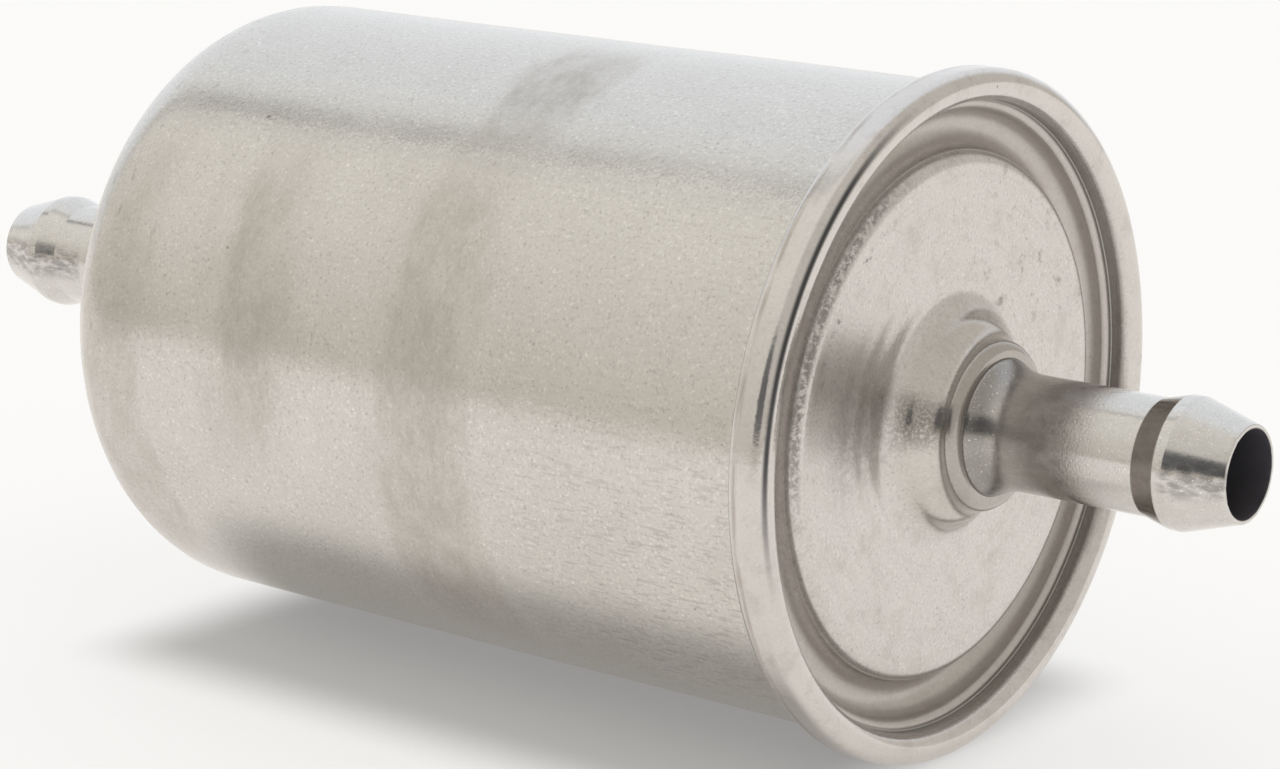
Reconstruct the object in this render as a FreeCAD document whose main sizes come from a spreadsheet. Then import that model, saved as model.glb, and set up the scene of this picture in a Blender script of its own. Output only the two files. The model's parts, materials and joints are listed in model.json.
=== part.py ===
import FreeCAD, Part
import Sketcher
import math
import os
import re

# An in-line metal fuel filter. Its axis is X, and +X runs to the seamed cover and the inlet nipple.
# Stations are distances along X, in millimetres, with station 100 near the middle of the canister,
# so X = station - mid_station. Radii are measured from the X axis.

DIMENSIONS = {
    "mid_station": 100.0,
    # canister and cover
    "sheet_thickness": 0.5,
    "can_radius": 27.5,
    "rear_face": 59.1,
    "shoulder_radius": 7.5,
    "rear_boss_height": 4.0,
    "boss_top": 142.9,
    "nipple_hole_radius": 5.77,
    "collar_radius": 7.1,
    "collar_height": 1.65,
    "collar_bend": 0.75,
    "neck_radius": 7.2,
    "neck_bend": 2.2,
    "dome_radius": 8.45,
    "dome_rise": 1.1,
    "dome_bend": 3.0,
    "boss_root_radius": 9.55,
    "boss_root_bend": 2.6,
    "panel_face": 138.1,
    "panel_radius": 22.3,
    "panel_edge_radius": 1.3,
    "groove_face": 135.3,
    "groove_radius": 1.6,
    "step_face": 137.6,
    "step_width": 0.9,
    "step_bend": 0.4,
    # double seam
    "seam_gap": 0.03,
    "chuck_radius": 26.47,
    "seam_radius": 29.09,
    "seam_rear": 136.3,
    "seam_front": 139.8,
    "crest_bend": 1.0,
    "hook_bend": 0.5,
    "cover_hook_end": 138.1,
    "body_hook_end": 137.45,
    "body_fold_front": 138.95,
    "tuck_margin": 0.1,
    "tuck_width": 0.7,
    "tuck_depth": 0.29,
    "compound_width": 0.64,
    "compound_height": 0.23,
    # hose nipples
    "fitting_gap": 0.02,
    "inlet_mouth": 165.7,
    "outlet_mouth": 28.1,
    "nipple_bore": 3.65,
    "tube_radius": 4.85,
    "foot_radius": 5.75,
    "foot_land": 0.1,
    "flare_length": 1.8,
    "flare_bend": 3.0,
    "barb_radius": 5.45,
    "tip_radius": 3.98,
    "cone_length": 4.8,
    "barb_land": 0.85,
    "barb_slope": 2.2,
    "barb_edge": 0.15,
    "mouth_edge": 0.1,
    "flange_radius": 6.25,
    "flange_thickness": 1.5,
    "stub_radius": 5.8,
    "stub_end": 72.3,
    "stub_edge": 0.6,
    "braze_height": 0.85,
    "braze_outer_height": 0.55,
    # inlet baffle and spring
    "baffle_face": 134.1,
    "pilot_radius": 8.3,
    "pilot_height": 1.2,
    "baffle_wall_radius": 16.0,
    "baffle_flange_radius": 19.5,
    "baffle_bend": 0.5,
    "window_count": 8,
    "window_width": 7.0,
    "window_length": 1.9,
    "spring_radius": 9.4,
    "wire_diameter": 1.0,
    "spring_coils": 3.5,
    "cup_hole_radius": 4.0,
    "cup_radius": 11.1,
    "cup_height": 4.2,
    "cup_bend": 0.8,
    # filter element
    "element_rear": 65.3,
    "element_length": 57.0,
    "element_radius": 23.3,
    "rim_height": 3.5,
    "disc_bend": 0.7,
    "disc_hole_radius": 7.9,
    "adhesive_thickness": 1.5,
    "adhesive_radius": 22.45,
    "tube_inner_radius": 10.0,
    "tube_wall": 0.5,
    "tube_hole_radius": 1.2,
    "tube_hole_rows": 9,
    "tube_hole_pitch": 5.6,
    "tube_hole_columns": 4,
    "gauze_thickness": 0.25,
    "pleat_count": 36,
    "pleat_outer_radius": 22.5,
    "pleat_valley_radius": 11.6,
    "pleat_tip_width": 1.0,
    "pleat_valley_width": 0.24,
    "paper_thickness": 0.4,
    "clip_thickness": 0.3,
    "clip_depth": 4.0,
    "clip_flare": 0.55,
    "clip_clearance": 0.1,
    "bead_thickness": 0.6,
    "bead_width": 2.0,
    "bead_count": 3,
    "bead_pitch": 13.0,
    "bead_sweep": 345.0,
    # grommet
    "grommet_inner_radius": 5.85,
    "grommet_rear": 63.3,
    "grommet_length": 4.5,
    "grommet_radius": 9.4,
    "grommet_bend": 0.7,
}

os.makedirs("parts", exist_ok=True)
doc = FreeCAD.newDocument("fuel_filter")
sheet = doc.addObject("Spreadsheet::Sheet", "Sizes")
for row, (alias, size) in enumerate(DIMENSIONS.items(), start=1):
    sheet.set(f"A{row}", alias)
    sheet.set(f"B{row}", str(size))
    sheet.setAlias(f"B{row}", alias)
doc.recompute()

parts = {}


def cells(formula):
    """A formula written with plain size names, as an expression on the sheet's cells."""
    return re.sub(r"[a-z][a-z_]*", lambda name: "Sizes." + name.group(), formula)


def value(formula):
    """The number a formula comes to with the sizes in the sheet."""
    return float(sheet.evalExpression(cells(formula)))


def new_body(name, station="mid_station", turn=0.0):
    """An empty body, turned by some degrees about X, that starts at a station."""
    body = doc.addObject("PartDesign::Body", name)
    body.Label = name
    body.Placement = FreeCAD.Placement(
        FreeCAD.Vector(0, 0, 0), FreeCAD.Rotation(FreeCAD.Vector(1, 0, 0), turn)
    )
    body.setExpression(".Placement.Base.x", cells(f"{station} - mid_station"))
    parts[name] = body
    return body


def new_sketch(body, name, plane):
    """A sketch lying on one of the body's own origin planes."""
    sketch = body.newObject("Sketcher::SketchObject", name)
    for feature in body.Origin.OriginFeatures:
        if feature.Role == plane:
            sketch.AttachmentSupport = [(feature, "")]
    sketch.MapMode = "FlatFace"
    return sketch


def bind(sketch, constraint, formula):
    """Adds a dimensional constraint and drives it with a formula."""
    index = sketch.addConstraint(constraint)
    sketch.setExpression(f"Constraints[{index}]", cells(formula))


def place_point(sketch, geometry, end, across, up):
    """Holds one end of a piece of geometry at two distances from the sketch's origin."""
    bind(sketch, Sketcher.Constraint("DistanceX", -1, 1, geometry, end, value(across)), across)
    if value(up) == 0:
        sketch.addConstraint(Sketcher.Constraint("PointOnObject", geometry, end, -1))
    else:
        bind(sketch, Sketcher.Constraint("DistanceY", -1, 1, geometry, end, value(up)), up)


def rounding(before, corner, after, radius):
    """Where a corner arc of a given radius starts, ends and has its centre, and if it turns left."""
    arriving = (corner - before).normalize()
    leaving = (after - corner).normalize()
    left = arriving.x * leaving.y - arriving.y * leaving.x > 0
    reach = radius * math.tan(arriving.getAngle(leaving) / 2)
    start = corner - arriving * reach
    side = 1 if left else -1
    centre = start + FreeCAD.Vector(-arriving.y, arriving.x, 0) * radius * side
    return start, corner + leaving * reach, centre, left


def outline(body, name, plane, corners):
    """A closed, fully constrained outline through corners given as (across, up, radius or None)."""
    sketch = new_sketch(body, name, plane)
    points = [FreeCAD.Vector(value(across), value(up), 0) for across, up, _ in corners]
    count = len(corners)
    arcs = {}
    starts = list(points)
    ends = list(points)
    for i, (_, _, radius) in enumerate(corners):
        if radius is None:
            continue
        size = value(radius)
        start, end, centre, left = rounding(points[i - 1], points[i], points[(i + 1) % count], size)
        starts[i] = start
        ends[i] = end
        first, last = (start, end) if left else (end, start)
        angles = [math.atan2(p.y - centre.y, p.x - centre.x) for p in (first, last)]
        circle = Part.Circle(centre, FreeCAD.Vector(0, 0, 1), size)
        arcs[i] = (sketch.addGeometry(Part.ArcOfCircle(circle, *angles)), left)
    lines = []
    for i in range(count):
        segment = Part.LineSegment(ends[i], starts[(i + 1) % count])
        lines.append(sketch.addGeometry(segment))
    for i, (across, up, radius) in enumerate(corners):
        if radius is None:
            sketch.addConstraint(Sketcher.Constraint("Coincident", lines[i - 1], 2, lines[i], 1))
            place_point(sketch, lines[i], 1, across, up)
            continue
        arc, left = arcs[i]
        near, far = (1, 2) if left else (2, 1)
        sketch.addConstraint(Sketcher.Constraint("Tangent", lines[i - 1], 2, arc, near))
        sketch.addConstraint(Sketcher.Constraint("Tangent", arc, far, lines[i], 1))
        mark = sketch.addGeometry(Part.Point(points[i]), True)
        sketch.addConstraint(Sketcher.Constraint("PointOnObject", mark, 1, lines[i - 1]))
        sketch.addConstraint(Sketcher.Constraint("PointOnObject", mark, 1, lines[i]))
        place_point(sketch, mark, 1, across, up)
        bind(sketch, Sketcher.Constraint("Radius", arc, value(radius)), radius)
    return sketch


def formed_sheet(path):
    """The outline of a sheet of even thickness along a mid-line.

    The path holds (station, radius, bend radius at mid-thickness or None)."""
    points = [(value(across), value(up)) for across, up, _ in path]
    normals = []
    for (x0, y0), (x1, y1) in zip(points, points[1:]):
        length = math.hypot(x1 - x0, y1 - y0)
        normals.append((-(y1 - y0) / length, (x1 - x0) / length))
    left_side = []
    right_side = []
    for i, (across, up, bend) in enumerate(path):
        (ax, ay), (bx, by) = normals[max(i - 1, 0)], normals[min(i, len(normals) - 1)]
        mitre = 1 + ax * bx + ay * by
        shift_x = (ax + bx) / mitre
        shift_y = (ay + by) / mitre
        turns_left = ax * by - ay * bx > 0
        for side, corners in ((1, left_side), (-1, right_side)):
            radius = None
            if bend is not None:
                sign = "-" if turns_left == (side == 1) else "+"
                radius = f"{bend} {sign} sheet_thickness / 2"
            corners.append((
                f"{across} + ({side * shift_x:.6f}) * sheet_thickness / 2",
                f"{up} + ({side * shift_y:.6f}) * sheet_thickness / 2",
                radius,
            ))
    return left_side + right_side[::-1]


def turned(name, corners, sweep="360"):
    """A body of revolution about X from an outline of stations and radii."""
    body = new_body(name, "0")
    sketch = outline(body, name + "_profile", "XY_Plane", corners)
    feature = body.newObject("PartDesign::Revolution", name + "_turned")
    feature.Profile = (sketch, [""])
    feature.ReferenceAxis = (sketch, ["H_Axis"])
    feature.Midplane = True
    feature.setExpression("Angle", cells(sweep))
    sketch.Visibility = False
    return body, feature


def ring(name, station, length, inner, outer):
    """A plain tube along X."""
    body = new_body(name, station)
    sketch = new_sketch(body, name + "_section", "YZ_Plane")
    for radius in (inner, outer):
        circle = Part.Circle(FreeCAD.Vector(0, 0, 0), FreeCAD.Vector(0, 0, 1), value(radius))
        index = sketch.addGeometry(circle)
        sketch.addConstraint(Sketcher.Constraint("Coincident", index, 3, -1, 1))
        bind(sketch, Sketcher.Constraint("Radius", index, value(radius)), radius)
    pad = body.newObject("PartDesign::Pad", name + "_pad")
    pad.Profile = (sketch, [""])
    pad.setExpression("Length", cells(length))
    return body, pad


def around_axis(body, original, count, sweep="360"):
    """Repeats a feature around the X axis."""
    pattern = doc.addObject("PartDesign::PolarPattern", original.Name + "_around")
    pattern.Originals = [original]
    for feature in body.Origin.OriginFeatures:
        if feature.Role == "X_Axis":
            pattern.Axis = (feature, [""])
    pattern.setExpression("Angle", cells(sweep))
    pattern.setExpression("Occurrences", cells(count))
    return pattern


# ---- canister, cover and seam ----------------------------------------------------------------

def boss_path(top, face, inward):
    """The mid-line of a boss: collar around the nipple, neck, dome and root on the flat face."""
    return [
        (top, "nipple_hole_radius", None),
        (top, "collar_radius - sheet_thickness / 2", "collar_bend"),
        (f"{top} {inward} collar_height", "neck_radius - sheet_thickness / 2", "neck_bend"),
        (f"{top} {inward} (collar_height + dome_rise)", "dome_radius - sheet_thickness / 2", "dome_bend"),
        (face, "boss_root_radius - sheet_thickness / 2", "boss_root_bend"),
    ]


def canister():
    """The drawn canister: boss, rounded shoulder, straight wall and the hook folded into the seam.

    A narrow groove around the wall takes the rolled edge of the cover."""
    wall = "can_radius - sheet_thickness / 2"
    rear = "rear_face + sheet_thickness / 2"
    boss_end = "rear_face - rear_boss_height + sheet_thickness / 2"
    hook = "can_radius + 2 * seam_gap + 3 * sheet_thickness / 2"
    fold = "body_fold_front - sheet_thickness / 2"
    body, _ = turned("canister", formed_sheet(boss_path(boss_end, rear, "+") + [
        (rear, wall, "shoulder_radius - sheet_thickness / 2"),
        (fold, wall, "hook_bend"),
        (fold, hook, "hook_bend"),
        ("body_hook_end", hook, None),
    ]))
    tuck_rear = "seam_rear - tuck_margin"
    tuck_front = f"{tuck_rear} + tuck_width"
    tuck_floor = "can_radius - tuck_depth"
    sketch = outline(body, "tuck_outline", "XY_Plane", [
        (tuck_rear, tuck_floor, None),
        (tuck_front, tuck_floor, None),
        (tuck_front, "can_radius + seam_gap", None),
        (tuck_rear, "can_radius + seam_gap", None),
    ])
    groove = body.newObject("PartDesign::Groove", "tuck_groove")
    groove.Profile = (sketch, [""])
    groove.ReferenceAxis = (sketch, ["H_Axis"])
    groove.Angle = 360
    body.Tip = groove


def end_cover():
    """The pressed cover: boss, flat panel, groove, stepped wall and the curl that grips the hook."""
    lip = "boss_top - sheet_thickness / 2"
    panel = "panel_face - sheet_thickness / 2"
    panel_wall = "panel_radius - sheet_thickness / 2"
    groove = "groove_face - sheet_thickness / 2"
    step = "step_face - sheet_thickness / 2"
    chuck_wall = "chuck_radius + sheet_thickness / 2"
    lower_wall = f"{chuck_wall} - step_width"
    crest = "seam_front - sheet_thickness / 2"
    seam_wall = "seam_radius - sheet_thickness / 2"
    foot = "seam_rear + sheet_thickness / 2"
    hook = "can_radius + seam_gap + sheet_thickness / 2"
    turned("end_cover", formed_sheet(boss_path(lip, panel, "-") + [
        (panel, panel_wall, "panel_edge_radius - sheet_thickness / 2"),
        (groove, panel_wall, "groove_radius + sheet_thickness / 2"),
        (groove, lower_wall, "groove_radius + sheet_thickness / 2"),
        (step, lower_wall, "step_bend"),
        (step, chuck_wall, "step_bend"),
        (crest, chuck_wall, "crest_bend"),
        (crest, seam_wall, "crest_bend"),
        (foot, seam_wall, "hook_bend"),
        (foot, hook, "hook_bend"),
        ("cover_hook_end", hook, None),
    ]))


def seam_compound():
    """The thin ring of sealing compound caught between the hook and the cover's crest."""
    middle = "(chuck_radius + seam_radius) / 2"
    inner = f"{middle} - compound_width / 2"
    outer = f"{middle} + compound_width / 2"
    rear = "body_fold_front + fitting_gap"
    front = f"{rear} + compound_height"
    turned("seam_compound", [
        (rear, inner, None),
        (front, inner, "compound_height / 3"),
        (front, outer, "compound_height / 3"),
        (rear, outer, None),
    ])


# ---- hose nipples -----------------------------------------------------------------------------

def hose_end(mouth, boss, outward):
    """The outline from a nipple's foot on its boss out to the mouth; outward is + or -."""
    inward = "-" if outward == "+" else "+"
    barb_front = f"{mouth} {inward} cone_length"
    barb_rear = f"{barb_front} {inward} barb_land"
    return [
        (f"{boss} {outward} foot_land", "foot_radius", None),
        (f"{boss} {outward} flare_length", "tube_radius", "flare_bend"),
        (f"{barb_rear} {inward} barb_slope", "tube_radius", None),
        (barb_rear, "barb_radius", "barb_edge"),
        (barb_front, "barb_radius", "barb_edge"),
        (mouth, "tip_radius", "mouth_edge"),
        (mouth, "nipple_bore", None),
    ]


def inlet_nipple():
    """The inlet nipple, with a flange that sits inside the cover's boss."""
    under_boss = "boss_top - sheet_thickness - fitting_gap"
    flange_rear = f"{under_boss} - flange_thickness"
    turned("inlet_nipple", hose_end("inlet_mouth", "boss_top", "+") + [
        (flange_rear, "nipple_bore", None),
        (flange_rear, "flange_radius", None),
        (under_boss, "flange_radius", None),
        (under_boss, "foot_radius", None),
    ])


def outlet_nipple():
    """The outlet nipple, with a collar the grommet stops on and a stub the element slides on."""
    boss = "rear_face - rear_boss_height"
    under_boss = f"{boss} + sheet_thickness + fitting_gap"
    seat = "grommet_rear - fitting_gap"
    turned("outlet_nipple", hose_end("outlet_mouth", boss, "-") + [
        ("stub_end", "nipple_bore", None),
        ("stub_end", "stub_radius", "stub_edge"),
        (seat, "stub_radius", None),
        (seat, "flange_radius", None),
        (under_boss, "flange_radius", None),
        (under_boss, "foot_radius", None),
    ])


def braze_ring(name, face, inward):
    """A fillet of braze metal between a nipple's flange and the inside of its boss."""
    near = f"{face} {inward} (collar_bend - sheet_thickness / 2)"
    inner = "flange_radius + fitting_gap"
    outer = "collar_radius - sheet_thickness - fitting_gap"
    turned(name, [
        (near, inner, None),
        (f"{near} {inward} braze_height", inner, None),
        (f"{near} {inward} braze_outer_height", outer, None),
        (near, outer, None),
    ])


# ---- inlet baffle and spring ------------------------------------------------------------------

def inlet_baffle():
    """The pressed baffle under the inlet: it turns the fuel outwards and seats the spring."""
    plate = "baffle_face + sheet_thickness / 2"
    pilot = "baffle_face - pilot_height + sheet_thickness / 2"
    flange = "panel_face - 3 * sheet_thickness / 2 - fitting_gap"
    body, _ = turned("inlet_baffle", formed_sheet([
        (pilot, "0", None),
        (pilot, "pilot_radius", "baffle_bend"),
        (plate, "pilot_radius", "baffle_bend"),
        (plate, "baffle_wall_radius", "baffle_bend"),
        (flange, "baffle_wall_radius", "baffle_bend"),
        (flange, "baffle_flange_radius", None),
    ]))
    low = "baffle_face + 3 * sheet_thickness / 2"
    high = f"{low} + window_length"
    inside = "baffle_wall_radius - 2 * sheet_thickness"
    outside = "baffle_wall_radius + 2 * sheet_thickness"
    sketch = outline(body, "window_outline", "XY_Plane", [
        (low, inside, None),
        (high, inside, None),
        (high, outside, None),
        (low, outside, None),
    ])
    window = body.newObject("PartDesign::Pocket", "window")
    window.Profile = (sketch, [""])
    window.Midplane = True
    window.setExpression("Length", cells("window_width"))
    pattern = around_axis(body, window, "window_count")
    body.addObject(pattern)
    body.Tip = pattern


def element_spring():
    """The coil spring between the baffle and the element's spring cup."""
    seat = "element_rear + element_length + sheet_thickness + fitting_gap"
    body = new_body("element_spring", seat)
    sketch = new_sketch(body, "wire_section", "XY_Plane")
    middle = FreeCAD.Vector(value("wire_diameter / 2 + fitting_gap"), value("spring_radius"), 0)
    circle = Part.Circle(middle, FreeCAD.Vector(0, 0, 1), value("wire_diameter / 2"))
    index = sketch.addGeometry(circle)
    place_point(sketch, index, 3, "wire_diameter / 2 + fitting_gap", "spring_radius")
    bind(sketch, Sketcher.Constraint("Radius", index, value("wire_diameter / 2")), "wire_diameter / 2")
    helix = body.newObject("PartDesign::AdditiveHelix", "coil")
    helix.Profile = (sketch, [""])
    helix.ReferenceAxis = (sketch, ["H_Axis"])
    helix.Mode = 1
    helix.setExpression("Turns", cells("spring_coils"))
    rise = f"(baffle_face - ({seat}) - wire_diameter - 2 * fitting_gap)"
    helix.setExpression("Height", cells(rise))
    helix.setExpression("Pitch", cells(f"{rise} / spring_coils"))


def spring_cup():
    """The shallow cup on the element's closed end that keeps the spring central."""
    floor = "element_rear + element_length + fitting_gap + sheet_thickness / 2"
    wall = "cup_radius - sheet_thickness / 2"
    turned("spring_cup", formed_sheet([
        (floor, "cup_hole_radius", None),
        (floor, wall, "cup_bend"),
        (f"{floor} + cup_height", wall, None),
    ]))


# ---- filter element ---------------------------------------------------------------------------

PLEATS_REAR = "(element_rear + sheet_thickness + adhesive_thickness)"
PLEATS_LENGTH = "(element_length - 2 * sheet_thickness - 2 * adhesive_thickness)"


def end_discs():
    """The two flanged discs that close the element's ends; the rear one has the outlet hole."""
    rim = "element_radius - sheet_thickness / 2"
    rear = "element_rear + sheet_thickness / 2"
    front = "element_rear + element_length - sheet_thickness / 2"
    turned("open_end_disc", formed_sheet([
        (rear, "disc_hole_radius", None),
        (rear, rim, "disc_bend"),
        ("element_rear + rim_height", rim, None),
    ]))
    turned("closed_end_disc", formed_sheet([
        (front, "0", None),
        (front, rim, "disc_bend"),
        ("element_rear + element_length - rim_height", rim, None),
    ]))


def centre_tube():
    """The perforated tube that carries the pleats, ending on the two end discs."""
    length = "element_length - 2 * sheet_thickness - 2 * fitting_gap"
    outer = "tube_inner_radius + tube_wall"
    body, _ = ring("centre_tube", "element_rear + sheet_thickness + fitting_gap", length,
                   "tube_inner_radius", outer)
    sketch = new_sketch(body, "hole_outline", "XY_Plane")
    first = f"({length}) / 2 - (tube_hole_rows - 1) * tube_hole_pitch / 2"
    middle = FreeCAD.Vector(value(first), 0, 0)
    circle = Part.Circle(middle, FreeCAD.Vector(0, 0, 1), value("tube_hole_radius"))
    index = sketch.addGeometry(circle)
    place_point(sketch, index, 3, first, "0")
    bind(sketch, Sketcher.Constraint("Radius", index, value("tube_hole_radius")), "tube_hole_radius")
    hole = body.newObject("PartDesign::Pocket", "hole")
    hole.Profile = (sketch, [""])
    hole.Midplane = True
    hole.setExpression("Length", cells(f"4 * ({outer})"))
    rows = doc.addObject("PartDesign::LinearPattern", "hole_rows")
    rows.Direction = (sketch, ["H_Axis"])
    rows.setExpression("Length", cells("(tube_hole_rows - 1) * tube_hole_pitch"))
    rows.setExpression("Occurrences", cells("tube_hole_rows"))
    columns = around_axis(body, hole, "tube_hole_columns", "180 * (tube_hole_columns - 1) / tube_hole_columns")
    both = body.newObject("PartDesign::MultiTransform", "holes")
    both.Originals = [hole]
    body.addObject(rows)
    body.addObject(columns)
    both.Transformations = [rows, columns]
    body.Tip = both


def support_gauze():
    """The fine gauze wrapped on the centre tube, behind the pleats."""
    inner = "tube_inner_radius + tube_wall + fitting_gap"
    ring("support_gauze", f"{PLEATS_REAR} + fitting_gap", f"{PLEATS_LENGTH} - 2 * fitting_gap",
         inner, f"{inner} + gauze_thickness")


def adhesive(name, station):
    """The ring of adhesive that bonds the pleats to an end disc."""
    ring(name, station, "adhesive_thickness - 2 * fitting_gap",
         "tube_inner_radius + tube_wall + fitting_gap", "adhesive_radius")


def pleated_paper():
    """The pleated paper: a star-shaped wall of even thickness all the way round."""
    count = int(value("pleat_count"))
    outer_radius = value("pleat_outer_radius")
    valley_radius = value("pleat_valley_radius")
    outer_half = value("pleat_tip_width") / 2 / outer_radius
    valley_half = value("pleat_valley_width") / 2 / valley_radius
    points = []
    for k in range(count):
        tip = 2 * math.pi * k / count
        valley = tip + math.pi / count
        for radius, angle in (
            (outer_radius, tip - outer_half),
            (outer_radius, tip + outer_half),
            (valley_radius, valley - valley_half),
            (valley_radius, valley + valley_half),
        ):
            points.append(FreeCAD.Vector(0, radius * math.cos(angle), radius * math.sin(angle)))
    outside = Part.makePolygon(points + points[:1])
    inside = outside.makeOffset2D(-value("paper_thickness"), 2)
    section = Part.Face(outside).cut(Part.Face(inside)).Faces[0]
    paper = doc.addObject("Part::Feature", "pleated_paper")
    paper.Label = "pleated_paper"
    length = value(f"{PLEATS_LENGTH} - 2 * fitting_gap")
    paper.Shape = section.extrude(FreeCAD.Vector(length, 0, 0))
    paper.Placement = FreeCAD.Placement(
        FreeCAD.Vector(value(f"{PLEATS_REAR} + fitting_gap - mid_station"), 0, 0), FreeCAD.Rotation()
    )
    parts["pleated_paper"] = paper


def pleat_seam_clip():
    """The folded strip that pinches together the two ends of the paper, over one pleat."""
    body = new_body("pleat_seam_clip", "element_rear + rim_height + fitting_gap")
    inner_top = "pleat_outer_radius + 2 * fitting_gap"
    outer_top = f"{inner_top} + clip_thickness"
    foot = "pleat_outer_radius - clip_depth"
    inner_half = "pleat_tip_width / 2 + clip_clearance"
    outer_half = f"{inner_half} + clip_thickness"
    sketch = outline(body, "clip_section", "YZ_Plane", [
        (foot, f"-({inner_half} + clip_flare)", None),
        (inner_top, f"-({inner_half})", None),
        (inner_top, inner_half, None),
        (foot, f"{inner_half} + clip_flare", None),
        (foot, f"{outer_half} + clip_flare", None),
        (outer_top, outer_half, "clip_thickness"),
        (outer_top, f"-({outer_half})", "clip_thickness"),
        (foot, f"-({outer_half} + clip_flare)", None),
    ])
    pad = body.newObject("PartDesign::Pad", "clip_strip")
    pad.Profile = (sketch, [""])
    pad.setExpression("Length", cells("element_length - 2 * rim_height - 2 * fitting_gap"))


def pleat_spacer_beads():
    """The beads of adhesive round the pleats; each stops short on both sides of the seam clip."""
    first = "element_rear + element_length / 2 - (bead_count - 1) * bead_pitch / 2 - bead_width / 2"
    inner = "pleat_outer_radius + fitting_gap"
    outer = f"{inner} + bead_thickness"
    body, bead = turned("pleat_spacer_beads", [
        (first, inner, None),
        (first, outer, "bead_thickness / 3"),
        (f"{first} + bead_width", outer, "bead_thickness / 3"),
        (f"{first} + bead_width", inner, None),
    ], "bead_sweep")
    body.AllowCompound = True
    body.Placement.Rotation = FreeCAD.Rotation(FreeCAD.Vector(1, 0, 0), 180)
    row = body.newObject("PartDesign::LinearPattern", "bead_row")
    row.Originals = [bead]
    row.Direction = (bead.Profile[0], ["H_Axis"])
    row.setExpression("Length", cells("(bead_count - 1) * bead_pitch"))
    row.setExpression("Occurrences", cells("bead_count"))
    body.Tip = row


def outlet_grommet():
    """The rubber grommet in the open end disc's hole, sealing on the outlet stub."""
    front = "grommet_rear + grommet_length"
    groove_rear = "element_rear - fitting_gap"
    groove_front = "element_rear + sheet_thickness + fitting_gap"
    neck = "disc_hole_radius - fitting_gap"
    turned("outlet_grommet", [
        ("grommet_rear", "grommet_inner_radius", None),
        (front, "grommet_inner_radius", None),
        (front, "grommet_radius", "grommet_bend"),
        (groove_front, "grommet_radius", None),
        (groove_front, neck, None),
        (groove_rear, neck, None),
        (groove_rear, "grommet_radius", None),
        ("grommet_rear", "grommet_radius", "grommet_bend"),
    ])


canister()
end_cover()
seam_compound()
inlet_nipple()
outlet_nipple()
braze_ring("inlet_braze_ring", "boss_top - sheet_thickness", "-")
braze_ring("outlet_braze_ring", "rear_face - rear_boss_height + sheet_thickness", "+")
inlet_baffle()
element_spring()
spring_cup()
end_discs()
centre_tube()
support_gauze()
adhesive("open_end_adhesive", "element_rear + sheet_thickness + fitting_gap")
adhesive("closed_end_adhesive", f"{PLEATS_REAR} + {PLEATS_LENGTH} + fitting_gap")
pleated_paper()
pleat_seam_clip()
pleat_spacer_beads()
outlet_grommet()
doc.recompute()

for item in doc.Objects:
    bad = {"Invalid", "Error"} & set(item.State)
    if bad:
        raise RuntimeError(f"{item.Label} is {sorted(bad)}")
for name, part in parts.items():
    if part.Shape.isNull() or not part.Shape.isValid():
        raise RuntimeError(f"{name} has no valid shape")
    part.Shape.exportStep(f"parts/{name}.step")
    box = part.Shape.optimalBoundingBox()
    print(f"{name}: {len(part.Shape.Solids)} solid(s), {part.Shape.Volume:.1f} mm3, "
          f"X {box.XMin:.2f} to {box.XMax:.2f}, R {box.YMax:.2f}")
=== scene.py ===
import json
import math

import bpy
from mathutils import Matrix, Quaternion, Vector, noise


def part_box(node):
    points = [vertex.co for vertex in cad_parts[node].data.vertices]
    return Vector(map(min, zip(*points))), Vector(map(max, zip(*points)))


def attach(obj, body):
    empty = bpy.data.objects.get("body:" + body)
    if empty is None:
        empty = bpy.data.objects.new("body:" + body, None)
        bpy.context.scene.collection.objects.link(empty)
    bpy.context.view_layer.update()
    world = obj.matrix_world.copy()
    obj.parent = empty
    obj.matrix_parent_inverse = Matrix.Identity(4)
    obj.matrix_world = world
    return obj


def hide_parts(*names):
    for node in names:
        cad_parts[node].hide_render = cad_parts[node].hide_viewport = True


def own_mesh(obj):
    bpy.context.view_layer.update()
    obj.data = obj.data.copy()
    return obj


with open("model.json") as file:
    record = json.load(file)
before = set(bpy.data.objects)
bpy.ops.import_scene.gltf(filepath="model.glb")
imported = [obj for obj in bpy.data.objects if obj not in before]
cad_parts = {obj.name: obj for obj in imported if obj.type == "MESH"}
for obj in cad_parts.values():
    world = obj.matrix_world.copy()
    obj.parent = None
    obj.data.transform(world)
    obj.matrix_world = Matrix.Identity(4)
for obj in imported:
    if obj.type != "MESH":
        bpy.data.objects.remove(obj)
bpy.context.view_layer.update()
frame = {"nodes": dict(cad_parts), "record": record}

# An in-line metal fuel filter. Its axis is X, and +X runs to the seamed cover and the inlet nipple.
# Lengths are written in millimetres and turned into metres when a mesh is made. Angles around the
# canister are in degrees, 0 on the -Y side and 90 on top.

MM = 0.001

# The pressed sheets. The radii and bends of a boss are measured to the middle of the sheet.
SHEET = 0.5
CAN_RADIUS = 27.5
SHOULDER = 7.5
REAR_BOSS_HEIGHT = 4.0
NIPPLE_HOLE = 5.77
COLLAR_RADIUS = 6.85
COLLAR_HEIGHT = 1.65
COLLAR_BEND = 0.75
NECK_RADIUS = 6.95
NECK_BEND = 2.2
DOME_RADIUS = 8.2
DOME_RISE = 1.1
DOME_BEND = 3.0
ROOT_RADIUS = 9.3
ROOT_BEND = 2.6
PANEL_FACE = 38.1
PANEL_RADIUS = 22.3
PANEL_BEND = 1.05
GROOVE_FACE = 35.3
GROOVE_BEND = 1.85
STEP_FACE = 37.6
STEP_WIDTH = 0.9
STEP_BEND = 0.4

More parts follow.
